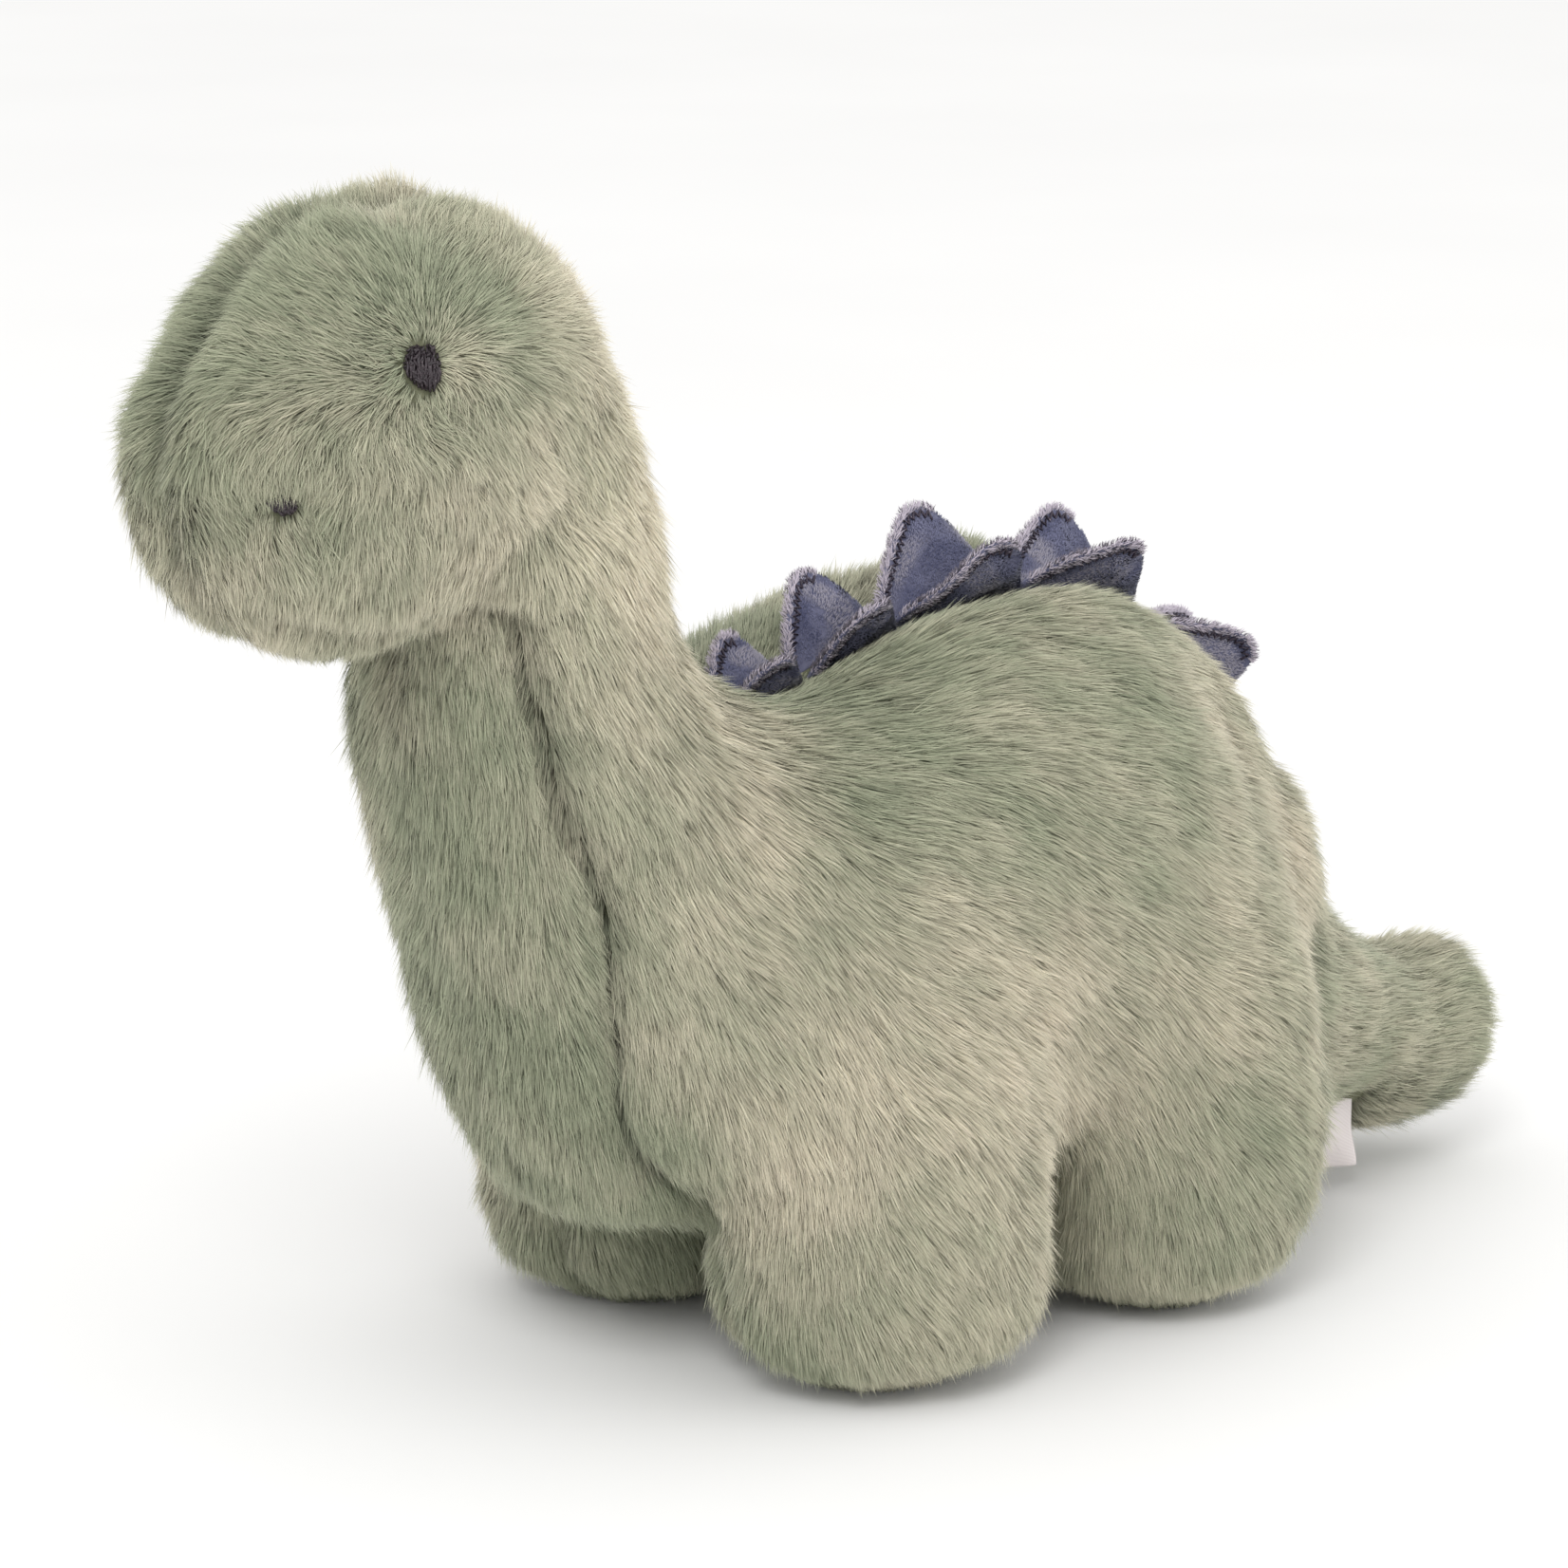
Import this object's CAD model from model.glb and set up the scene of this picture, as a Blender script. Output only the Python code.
import math
import bpy
import numpy as np
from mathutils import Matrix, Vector, kdtree


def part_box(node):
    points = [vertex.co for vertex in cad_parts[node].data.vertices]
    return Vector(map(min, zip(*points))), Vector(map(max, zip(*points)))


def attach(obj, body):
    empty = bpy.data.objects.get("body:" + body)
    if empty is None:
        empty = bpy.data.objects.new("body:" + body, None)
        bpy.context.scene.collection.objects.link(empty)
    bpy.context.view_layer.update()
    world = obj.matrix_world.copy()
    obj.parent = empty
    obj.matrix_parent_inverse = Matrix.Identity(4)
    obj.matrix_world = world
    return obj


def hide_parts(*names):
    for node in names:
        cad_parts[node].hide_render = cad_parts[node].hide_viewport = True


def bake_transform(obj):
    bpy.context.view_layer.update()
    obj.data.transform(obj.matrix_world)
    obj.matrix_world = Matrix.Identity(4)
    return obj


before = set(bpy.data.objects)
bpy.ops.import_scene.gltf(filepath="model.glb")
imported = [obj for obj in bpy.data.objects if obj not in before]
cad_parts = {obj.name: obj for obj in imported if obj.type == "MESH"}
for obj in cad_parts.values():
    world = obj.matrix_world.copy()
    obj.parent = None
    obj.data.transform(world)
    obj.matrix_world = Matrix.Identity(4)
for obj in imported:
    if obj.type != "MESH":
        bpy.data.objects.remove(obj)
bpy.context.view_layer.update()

MM = 0.001
ORIGIN_X = 2.0
LABEL_SHIFT = 10.0      # the label hangs this far behind its place in the CAD, clear of the rear leg
LEFT, RIGHT = -1, 1
REGIONS = ("torso", "neck", "head", "tail")
STRANDS = 1060000
STRAND_LENGTH = 11.6
STRAND_WIDTHS = [0.26, 0.21]
STRAND_ANGLES = (46, 15)       # how far each half of a strand stands off the skin, in degrees
STRANDS_PER_TUFT = 20
STRANDS_PER_PIECE = 64000
VOXEL = 0.0032                 # size of the cells that merge the lofts into one skin, in metres
SOLE_Z = 1.2                   # the skin's soles lie this high, in mm
CLOTH_FRAMES = 20
PUFF_CAP, PUFF_SHARE = 0.005, 0.6   # most that the cloth may move, in metres, and the share that is kept
DIP_SIZE, DIP_DEPTH = 10, 1.8  # hollow of the back along the plates
STITCH_PITCH = 1.15
rng = np.random.default_rng(11)

# ---------------------------------------------------------------- numbers of the soft shapes, in mm
# Each station: x, y, z, half width, half height, dip on top
TORSO = [[90, 0, 88, 40.9, 45, 3.2], [60, 0, 103, 60.1, 74, 5.6], [14, 0, 104, 66, 77, 8],
         [-40, 0, 101, 64, 66, 8], [-82, 0, 103, 54.1, 60, 0]]
NECK = [[-60, 0, 108, 57, 52, 0], [-94, 0, 136, 45, 44, 0], [-110, 0, 170, 36, 34, 0],
        [-116, 0, 208, 34, 31, 0], [-124, 0, 238, 33, 30, 0]]
HEAD = [[-128, 0, 250, 34, 38, 0], [-138, 0, 243, 38, 48, 0], [-156, 0, 232, 37, 48, 0], [-173, 0, 220, 33, 42, 0]]
TAIL = [[100, 0, 58, 42, 41, 0], [129, 0, 51, 32, 30, 0], [159, 0, 42, 25, 25, 0], [191, 0, 36, 19, 20, 0]]
FRONT_LEG = [[-46, 44, 84, 34, 36, 0], [-39, 44, 50, 35, 37, 0], [-37, 44, 22, 34, 36, 0]]
REAR_LEG = [[56, 44, 85, 33, 36, 0], [56, 44, 48, 34, 37, 0], [54, 44, 22, 31, 33, 0]]
HEAD_CAPS = (26, 28)
EYE_PLACE, NOSTRIL_PLACE = (1.64, 207), (3.28, 209)
EYE_SIZE, NOSTRIL_SIZE = (8.4, 11.4), (7.0, 5.0)
PLATES = [[3.22, 2.74, 14], [2.60, 2.20, 19], [2.10, 1.47, 24], [1.36, 0.94, 21], [0.73, 0.32, 18]]
PLATE_T, PLATE_ROOT_Y, TIP_SHARE, TIP_BACK = 5.0, 3.4, 0.32, 0.55
LEAN = {LEFT: 44.0, RIGHT: -24.0}
GUSSET = [[14, 36], [62, 29], [95, 34], [128, 34], [170, 29], [200, 26], [225, 10]]

# Where the soft joints bend: start and end of each blend, in mm
NECK_BEND = (np.array([-92.0, 0, 137.0]), np.array([-0.4226, 0, 0.9063]), 0.0, 42.0)
HEAD_TWIST = (np.array([-116.0, 0, 207.0]), np.array([-0.64, 0, 0.768]), -17.0, 17.0)
TAIL_BEND = (np.array([124.0, 0, 53.0]), np.array([0.97, 0, -0.242]), -20.0, 24.0)


def unit(v):
    return v / np.maximum(np.linalg.norm(v, axis=-1, keepdims=True), 1e-12)


def step(a, b, x):
    t = np.clip((x - a) / (b - a), 0, 1)
    return t * t * (3 - 2 * t)


def srgb(r, g, b):
    c = np.array([r, g, b], float) / 255
    return np.where(c <= 0.04045, c / 12.92, ((c + 0.055) / 1.055) ** 2.4)


# ---------------------------------------------------------------- lofts
def station(st, u):
    st = np.array(st, float)
    i = int(max(0, min(len(st) - 2, math.floor(u))))
    before = st[i - 1] if i > 0 else 2 * st[0] - st[1]
    after = st[i + 2] if i < len(st) - 2 else 2 * st[i + 1] - st[i]
    a, b, c, d, t = before, st[i], st[i + 1], after, u - i
    return 0.5 * (2 * b + (c - a) * t + (2 * a - 5 * b + 4 * c - d) * t * t + (3 * b - a - 3 * c + d) * t ** 3)


def heading(st, u):
    last = len(st) - 1
    return unit(station(st, min(last, u + 0.05))[:3] - station(st, max(0, u - 0.05))[:3])


def ring_point(c, t, half_w, half_h, dip, degrees):
    s = unit(np.array([0, 1.0, 0]) - t[1] * t)
    n = np.cross(t, s)
    a = np.radians(np.atleast_1d(degrees))[:, None]
    top = np.abs(np.degrees(a) - 270) / 22
    return c + half_w * np.cos(a) * s + (half_h * np.sin(a) + dip * np.exp(-top * top)) * n


def loft(st, caps, sides=56, steps=8, mirror=1):
    last = len(st) - 1
    rows = [(station(st, 0), heading(st, 0), -caps[0] * math.sin(a), math.cos(a))
            for a in np.radians(np.arange(80, 5, -10))]
    rows += [(station(st, k / steps), heading(st, k / steps), 0, 1) for k in range(last * steps + 1)]
    rows += [(station(st, last), heading(st, last), caps[1] * math.sin(a), math.cos(a))
             for a in np.radians(np.arange(10, 85, 10))]
    degrees = np.arange(sides) * 360 / sides
    rings = [ring_point(s[:3] + t * push, t, s[3] * k, s[4] * k, s[5] * k, degrees) for s, t, push, k in rows]
    ends = [station(st, 0)[:3] - heading(st, 0) * caps[0], station(st, last)[:3] + heading(st, last) * caps[1]]
    points = np.concatenate([[ends[0]], *rings, [ends[1]]])
    points[:, 1] *= mirror
    points[:, 0] += ORIGIN_X
    faces, m = [], len(rings)
    for j in range(sides):
        k = (j + 1) % sides
        faces.append((0, 1 + j, 1 + k))
        for i in range(m - 1):
            a = 1 + i * sides
            faces.append((a + j, a + sides + j, a + sides + k, a + k))
        a = 1 + (m - 1) * sides
        faces.append((len(points) - 1, a + k, a + j))
    return points, faces


def mesh_object(name, points, faces):
    mesh = bpy.data.meshes.new(name)
    mesh.from_pydata([tuple(p) for p in points], [], [tuple(int(i) for i in f) for f in faces])
    mesh.update()
    obj = bpy.data.objects.new(name, mesh)
    bpy.context.scene.collection.objects.link(obj)
    return obj


def applied(obj):
    dg = bpy.context.evaluated_depsgraph_get()
    dg.update()
    mesh = bpy.data.meshes.new_from_object(obj.evaluated_get(dg))
    obj.modifiers.clear()
    old = obj.data
    obj.data = mesh
    bpy.data.meshes.remove(old)
    return obj


def coords(mesh):
    co = np.empty(len(mesh.vertices) * 3)
    mesh.vertices.foreach_get("co", co)
    return co.reshape(-1, 3)


def set_coords(mesh, co):
    mesh.vertices.foreach_set("co", np.ascontiguousarray(co, np.float32).ravel())
    mesh.update()


def normals_of(mesh):
    n = np.empty(len(mesh.vertices) * 3)
    mesh.vertices.foreach_get("normal", n)
    return n.reshape(-1, 3)


def along(bend, p):
    """How far points are past the middle of a bend, in mm."""
    centre, axis, _, _ = bend
    return (p - centre) @ axis


# ---------------------------------------------------------------- one continuous skin
def head_point(u, degrees):
    last = len(HEAD) - 1
    c, t = station(HEAD, min(u, last)), heading(HEAD, min(u, last))
    turn = math.radians(90 * max(0, u - last))
    p = ring_point(c[:3] + t * HEAD_CAPS[1] * math.sin(turn), t, c[3] * math.cos(turn), c[4] * math.cos(turn), 0,
                   degrees)
    return p[0]


def patch_frame(place, side):
    """Centre, outward, sideways and upward directions of an embroidered patch, in mm."""
    u, a = place
    p = head_point(u, a)
    toward = np.cross(head_point(u + 0.05, a) - p, head_point(u, a + 2) - p)
    out = unit(toward) * (1 if toward[1] * p[1] > 0 else -1)
    if side == RIGHT:
        p, out = p * [1, -1, 1], out * [1, -1, 1]
    sideways = unit(np.cross([0, 0, 1.0], out))
    return p + [ORIGIN_X, 0, 0], out, sideways, np.cross(out, sideways)


def gusset_edge(p):
    """Signed distance from the seam between the side panels and the underside gusset."""
    z = np.array(GUSSET, float)
    return np.abs(p[:, 1]) - np.interp(p[:, 2], z[:, 0], z[:, 1])


def gusset_mask(p):
    """1 on the chest and throat, where the gusset's seam runs."""
    line = np.interp(p[:, 2], [0, 20, 52, 66, 100, 150, 205], [10, -25, -50, -60, -88, -108, -118]) + ORIGIN_X
    return step(6, -14, p[:, 0] - line) * step(212, 196, p[:, 2])


def plate_root(row):
    a, b = station(TORSO, row[0]), station(TORSO, row[1])
    p = ring_point(a[:3], heading(TORSO, row[0]), a[3], a[4], a[5], 270)[0]
    q = ring_point(b[:3], heading(TORSO, row[1]), b[3], b[4], b[5], 270)[0]
    d = unit(q - p)
    up = np.cross(d, [0, 1.0, 0])
    lift = -up * PLATE_T / 4
    shift = np.array([ORIGIN_X, 0, 0])
    return p + lift + shift, q + lift + shift, d, up


def root_distance(row, p):
    """How far points are from the line that a plate is sewn along, in mm."""
    a, b, d, _ = plate_root(row)
    t = np.clip((p - a) @ d, 0, (b - a) @ d)
    return np.linalg.norm(p - a - t[:, None] * d, axis=1)


# Hand-set bumps of the stuffing: centre, size and push, in mm
BUMPS = [((-142, 0, 182), 26, (0, 0, 6)), ((-152, 10, 182), 26, (0, 0, 12)), ((-146, 14, 281), 16, (0, 0, 3)),
         ((48, 18, 178), 14, (0, 2, 6)), ((-134, 14, 122), 42, (-1.5, 0, 0)),
         ((164, 0, 64), 30, (0, 0, -9)), ((198, 0, 54), 14, (3, 0, 0)), ((200, 0, 20), 14, (3, 0, 1)),
         ((205, 0, 34), 14, (-4, 0, 0)), ((192, 0, 14), 16, (2, 0, 1)), ((112, -14, 86), 19, (8, 0, 3)),
         ((72, -42, 152), 36, (-3, 3, -6)), ((72, 42, 152), 36, (-3, -3, -4)), ((92, -44, 128), 26, (-5, 4, 0)),
         ((88, -34, 148), 22, (-4, 3, -4)), ((140, -30, 14), 13, (0, 8, 8))]


def relax(obj, co, mask, rounds):
    """Pulls each point toward the middle of its neighbours."""
    e = np.empty(len(obj.data.edges) * 2, int)
    obj.data.edges.foreach_get("vertices", e)
    e = e.reshape(-1, 2)
    a, b = np.concatenate([e[:, 0], e[:, 1]]), np.concatenate([e[:, 1], e[:, 0]])
    number = np.bincount(a, minlength=len(co)).clip(1)
    for _ in range(rounds):
        total = [np.bincount(a, weights=co[b, k], minlength=len(co)) for k in range(3)]
        co = co + (np.stack(total, -1) / number[:, None] - co) * (0.7 * mask)[:, None]
    return co


def build_skin():
    parts = [loft(TORSO, (32, 43)), loft(NECK, (20, 10)), loft(HEAD, HEAD_CAPS), loft(TAIL, (25, 10))]
    parts.append(loft([[53, 0, 77, 47.9, 47.9, 0], [59, 0, 77, 47.9, 47.9, 0]], (45, 45)))
    for side in (LEFT, RIGHT):
        parts += [loft(FRONT_LEG, (14, 27), mirror=side), loft(REAR_LEG, (14, 27), mirror=side)]
    points, faces, base = [], [], 0
    for p, f in parts:
        points.append(p)
        faces += [tuple(i + base for i in face) for face in f]
        base += len(p)
    obj = mesh_object("skin", np.concatenate(points) * MM, faces)
    remesh = obj.modifiers.new("remesh", "REMESH")
    remesh.mode = "VOXEL"
    remesh.voxel_size = VOXEL
    smooth = obj.modifiers.new("smooth", "SMOOTH")
    smooth.factor, smooth.iterations = 0.5, 9
    applied(obj)
    co = coords(obj.data) / MM
    # the flank runs smoothly into the legs
    x, y, z = co.T
    hips = step(30, 44, np.abs(y)) * step(44, 60, z) * step(128, 104, z) * step(-104, -84, x) * step(112, 92, x)
    chest = step(-66, -84, x) * step(50, 66, z) * step(158, 138, z)
    co = relax(obj, co, np.maximum(hips, chest), 90)
    # rounded, flat soles
    x, y, z = co.T
    legs = (1 - step(0, 26, z)) * (x < 100)
    for foot in (-37, 54):
        for side in (LEFT, RIGHT):
            own = legs * (np.hypot(x - foot - ORIGIN_X, y - 44 * side) < 46)
            pull = 0.07 if foot < 0 and side == RIGHT else 0.15
            co[:, 0] -= own * pull * (x - foot - ORIGIN_X)
            co[:, 1] -= own * pull * (y - 44 * side)
    co[:, 2] = np.where(co[:, 2] < SOLE_Z, SOLE_Z + 0.12 * (co[:, 2] - SOLE_Z).clip(-6, 0), co[:, 2])
    for centre, size, push in BUMPS:
        co += np.exp(-((co - centre) ** 2).sum(1) / size ** 2)[:, None] * np.array(push, float)
    # the back dips where the plates are sewn in
    for row in PLATES:
        up = plate_root(row)[3]
        co -= np.exp(-(root_distance(row, co) / DIP_SIZE) ** 2)[:, None] * DIP_DEPTH * up
    set_coords(obj.data, co * MM)
    return obj


def inflate(obj):
    """A short cloth simulation puffs the skin out between its seams and lets it wrinkle where panels meet."""
    rest = coords(obj.data)
    p = rest / MM
    seam = np.abs(p[:, 1]) < 2.2
    seam |= (np.abs(gusset_edge(p)) < 2.4) & (gusset_mask(p) > 0.3)
    seam |= p[:, 2] < 3.0
    for place, size in ((EYE_PLACE, 7), (NOSTRIL_PLACE, 5)):
        for side in (LEFT, RIGHT):
            seam |= np.linalg.norm(p - patch_frame(place, side)[0], axis=1) < size
    group = obj.vertex_groups.new(name="pin")
    group.add([int(i) for i in np.nonzero(seam)[0]], 1.0, "REPLACE")
    cloth = obj.modifiers.new("cloth", "CLOTH")
    s = cloth.settings
    s.quality = 4
    s.mass = 0.2
    s.tension_stiffness = s.compression_stiffness = 12
    s.shear_stiffness = 6
    s.bending_stiffness = 1.5
    s.use_pressure = True
    s.uniform_pressure_force = 4
    s.vertex_group_mass = "pin"
    s.effector_weights.gravity = 0
    cloth.collision_settings.use_collision = False
    scene = bpy.context.scene
    scene.frame_start, scene.frame_end = 1, CLOTH_FRAMES
    cloth.point_cache.frame_start, cloth.point_cache.frame_end = 1, CLOTH_FRAMES
    for f in range(1, CLOTH_FRAMES + 1):
        scene.frame_set(f)
        bpy.context.evaluated_depsgraph_get()
    applied(obj)
    scene.frame_set(1)
    now = coords(obj.data)
    move = now - rest
    far = np.linalg.norm(move, axis=1, keepdims=True)
    move *= np.minimum(1, PUFF_CAP / np.maximum(far, 1e-9)) * PUFF_SHARE
    set_coords(obj.data, rest + move)


def groove(obj):
    """Seams pull the skin in."""
    mesh = obj.data
    p = coords(mesh) / MM
    n = normals_of(mesh)
    head = step(-14, 10, along(HEAD_TWIST, p))
    centre = np.exp(-(p[:, 1] / 4.6) ** 2)
    depth = centre * (0.8 + 3.4 * head)
    depth += np.exp(-(gusset_edge(p) / 4.4) ** 2) * gusset_mask(p) * 4.0
    floor = step(2, 12, p[:, 2])
    set_coords(mesh, (p - n * (depth * floor)[:, None]) * MM)


skin = build_skin()
inflate(skin)
groove(skin)
sub = skin.modifiers.new("sub", "SUBSURF")
sub.levels = sub.render_levels = 1
applied(skin)


def split(obj):
    """Cuts the skin into the pieces that follow different bodies."""
    mesh = obj.data
    p = coords(mesh) / MM
    n = normals_of(mesh)
    loops = np.empty(len(mesh.loops), int)
    mesh.loops.foreach_get("vertex_index", loops)
    quads = loops.reshape(-1, 4)
    c = p[quads].mean(1)
    in_head = along(HEAD_TWIST, c) > HEAD_TWIST[2]
    in_head &= c[:, 0] < -40
    in_neck = (along(NECK_BEND, c) > 0) & (c[:, 0] < -30) & ~in_head
    in_tail = along(TAIL_BEND, c) > TAIL_BEND[2]
    region = np.where(in_head, 2, np.where(in_neck, 1, np.where(in_tail, 3, 0)))
    made = {}
    for k, name in enumerate(REGIONS):
        f = quads[region == k]
        used, inverse = np.unique(f, return_inverse=True)
        piece = mesh_object("skin_" + name, p[used] * MM, inverse.reshape(-1, 4))
        piece.data.shade_smooth()
        piece.data.normals_split_custom_set_from_vertices([tuple(v) for v in n[used]])
        made[name] = piece
    return made, p, n, quads, region


skins, SKIN_P, SKIN_N, SKIN_Q, SKIN_R = split(skin)
bpy.data.objects.remove(skin)


# ---------------------------------------------------------------- materials
def material(name, build, rough=0.8, sheen=0.0, spec=0.25):
    m = bpy.data.materials.new(name)
    m.use_nodes = True
    nodes, links = m.node_tree.nodes, m.node_tree.links
    shader = nodes["Principled BSDF"]
    shader.inputs["Roughness"].default_value = rough
    shader.inputs["Specular IOR Level"].default_value = spec
    shader.inputs["Sheen Weight"].default_value = sheen
    shader.inputs["Sheen Roughness"].default_value = 0.5
    build(nodes, links, shader)
    return m


def noise(nodes, links, scale, detail=3.0):
    where = nodes.new("ShaderNodeTexCoord")
    tex = nodes.new("ShaderNodeTexNoise")
    tex.inputs["Scale"].default_value = scale
    tex.inputs["Detail"].default_value = detail
    links.new(where.outputs["Object"], tex.inputs["Vector"])
    return tex


def ramp(nodes, links, source, stops):
    r = nodes.new("ShaderNodeValToRGB")
    while len(r.color_ramp.elements) < len(stops):
        r.color_ramp.elements.new(0.5)
    for e, (at, colour) in zip(r.color_ramp.elements, stops):
        e.position, e.color = at, (*colour, 1)
    links.new(source, r.inputs[0])
    return r


def bumped(nodes, links, shader, source, strength, distance):
    b = nodes.new("ShaderNodeBump")
    b.inputs["Strength"].default_value = strength
    b.inputs["Distance"].default_value = distance
    links.new(source, b.inputs["Height"])
    links.new(b.outputs[0], shader.inputs["Normal"])


def strand_colour(nodes, links, shader):
    col = nodes.new("ShaderNodeAttribute")
    col.attribute_name = "Col"
    links.new(col.outputs["Color"], shader.inputs["Base Color"])


def backing(nodes, links, shader):
    tex = noise(nodes, links, 380.0)
    r = ramp(nodes, links, tex.outputs["Fac"], [(0.3, srgb(84, 87, 68)), (0.7, srgb(118, 119, 97))])
    links.new(r.outputs[0], shader.inputs["Base Color"])
    bumped(nodes, links, shader, tex.outputs["Fac"], 0.6, 0.002)


def velour(nodes, links, shader):
    tex = noise(nodes, links, 160.0)
    r = ramp(nodes, links, tex.outputs["Fac"], [(0.3, srgb(84, 86, 112)), (0.7, srgb(114, 115, 138))])
    links.new(r.outputs[0], shader.inputs["Base Color"])
    fine = noise(nodes, links, 1500.0)
    bumped(nodes, links, shader, fine.outputs["Fac"], 0.5, 0.0004)


def overlock(nodes, links, shader):
    tex = noise(nodes, links, 900.0)
    r = ramp(nodes, links, tex.outputs["Fac"],
             [(0.0, srgb(38, 30, 44)), (0.62, srgb(52, 42, 58)), (0.72, srgb(150, 142, 156))])
    links.new(r.outputs[0], shader.inputs["Base Color"])


def eye_thread(nodes, links, shader):
    tex = noise(nodes, links, 1300.0)
    r = ramp(nodes, links, tex.outputs["Fac"],
             [(0.2, srgb(22, 18, 22)), (0.62, srgb(52, 42, 48)), (0.8, srgb(120, 110, 112))])
    links.new(r.outputs[0], shader.inputs["Base Color"])
    bumped(nodes, links, shader, tex.outputs["Fac"], 0.5, 0.0003)


def satin(nodes, links, shader):
    where = nodes.new("ShaderNodeTexCoord")
    wave = nodes.new("ShaderNodeTexWave")
    wave.inputs["Scale"].default_value = 900.0
    wave.inputs["Distortion"].default_value = 1.0
    wave.bands_direction = "Z"
    links.new(where.outputs["Object"], wave.inputs["Vector"])
    r = ramp(nodes, links, wave.outputs["Fac"], [(0.2, srgb(214, 204, 204)), (0.8, srgb(236, 229, 227))])
    links.new(r.outputs[0], shader.inputs["Base Color"])
    bumped(nodes, links, shader, wave.outputs["Fac"], 0.25, 0.0002)


def plain_floor(nodes, links, shader):
    tex = noise(nodes, links, 3.0)
    r = ramp(nodes, links, tex.outputs["Fac"], [(0.3, (0.86, 0.86, 0.86)), (0.7, (0.88, 0.88, 0.88))])
    links.new(r.outputs[0], shader.inputs["Base Color"])


FUR = material("fur", strand_colour, rough=0.7, sheen=0.2, spec=0.15)
BACKING = material("backing", backing, rough=0.95)
VELOUR = material("velour", velour, rough=0.9, sheen=0.3)
PILE = material("velour_pile", strand_colour, rough=0.75, sheen=0.3, spec=0.15)
OVERLOCK = material("overlock_thread", overlock, rough=0.45, spec=0.5)
EYE_THREAD = material("eye_thread", eye_thread, rough=0.42, spec=0.5)
SATIN = material("satin", satin, rough=0.35, sheen=0.1, spec=0.5)
FLOOR = material("floor", plain_floor, rough=1.0, spec=0.0)


# ---------------------------------------------------------------- strands as thin ribbons
def waves(seed, size, count=7):
    """Smooth random field of a given size in mm, about -1 to 1."""
    r = np.random.default_rng(seed)
    k = unit(r.normal(size=(count, 3))) * (2 * math.pi / size) * r.uniform(0.6, 1.5, (count, 1))
    f = r.uniform(0, 2 * math.pi, count)
    return lambda p: np.sin(p @ k.T + f).sum(1) / math.sqrt(count / 2)


def ribbons(name, path, across, widths, colours, normals, mat):
    """path: n strands x m points x 3, in mm. The last point is the strand's tip."""
    n, m, _ = path.shape
    m -= 1
    w = np.asarray(widths)[None, :, None] * across[:, None, :] / 2
    left, right = path[:, :m] - w, path[:, :m] + w
    points = np.concatenate([left, right, path[:, m:]], axis=1)
    per = 2 * m + 1
    base = (np.arange(n) * per)[:, None, None]
    i = np.arange(m - 1)
    quads = (np.stack([i, i + m, i + m + 1, i + 1], -1)[None] + base).reshape(n, -1)
    tri = (np.array([[m - 1, 2 * m - 1, 2 * m]])[None] + base).reshape(n, -1)
    loops = np.concatenate([quads, tri], axis=1)
    sizes = np.tile([4] * (m - 1) + [3], n)
    mesh = bpy.data.meshes.new(name)
    mesh.vertices.add(n * per)
    mesh.vertices.foreach_set("co", (points * MM).astype(np.float32).ravel())
    mesh.loops.add(loops.size)
    mesh.loops.foreach_set("vertex_index", loops.astype(np.int32).ravel())
    mesh.polygons.add(len(sizes))
    starts = np.concatenate([[0], np.cumsum(sizes)[:-1]]).astype(np.int32)
    mesh.polygons.foreach_set("loop_start", starts)
    mesh.polygons.foreach_set("use_smooth", np.ones(len(sizes), bool))
    c = np.ones((n, per, 4), np.float32)
    c[:, :m, :3] = colours[:, :m]
    c[:, m:2 * m, :3] = colours[:, :m]
    c[:, 2 * m, :3] = colours[:, m]
    attr = mesh.attributes.new("Col", "FLOAT_COLOR", "POINT")
    attr.data.foreach_set("color", c.ravel())
    side = int(math.ceil(math.sqrt(n)))
    cell = np.stack([np.arange(n) % side, np.arange(n) // side], -1) / side
    u = np.concatenate([np.linspace(0.15, 0.75, m), np.linspace(0.15, 0.75, m), [0.85]])
    v = np.concatenate([np.full(m, 0.3), np.full(m, 0.7), [0.5]])
    uv = cell[:, None] + np.stack([u, v], -1)[None] / side
    layer = mesh.uv_layers.new(name="OFBake")
    layer.data.foreach_set("uv", uv.reshape(-1, 2)[loops.ravel()].astype(np.float32).ravel())
    mesh.update(calc_edges=True)
    obj = bpy.data.objects.new(name, mesh)
    bpy.context.scene.collection.objects.link(obj)
    mesh.materials.append(mat)
    if normals is not None:
        tilt = across[:, None, :] * 0.55
        nn = np.concatenate([unit(normals[:, :m] - tilt), unit(normals[:, :m] + tilt), normals[:, m:]], axis=1)
        mesh.normals_split_custom_set_from_vertices(nn.reshape(-1, 3).astype(np.float32))
    return obj


def sample(points, normals, faces, count, weight=None, extra=None):
    """Random places on a mesh: position, normal, and face number or the extra vertex values there."""
    a, b, c = points[faces[:, 0]], points[faces[:, 1]], points[faces[:, 2]]
    area = np.linalg.norm(np.cross(b - a, c - a), axis=1) / 2
    if weight is not None:
        area = area * weight
    f = rng.choice(len(faces), count, p=area / area.sum())
    r = np.sqrt(rng.random(count))[:, None]
    s = rng.random(count)[:, None]
    bary = np.concatenate([1 - r, r * (1 - s), r * s], axis=1)
    tri = faces[f]
    p = (points[tri] * bary[:, :, None]).sum(1)
    n = unit((normals[tri] * bary[:, :, None]).sum(1))
    return p, n, f if extra is None else (extra[tri] * bary[:, :, None]).sum(1)


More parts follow.
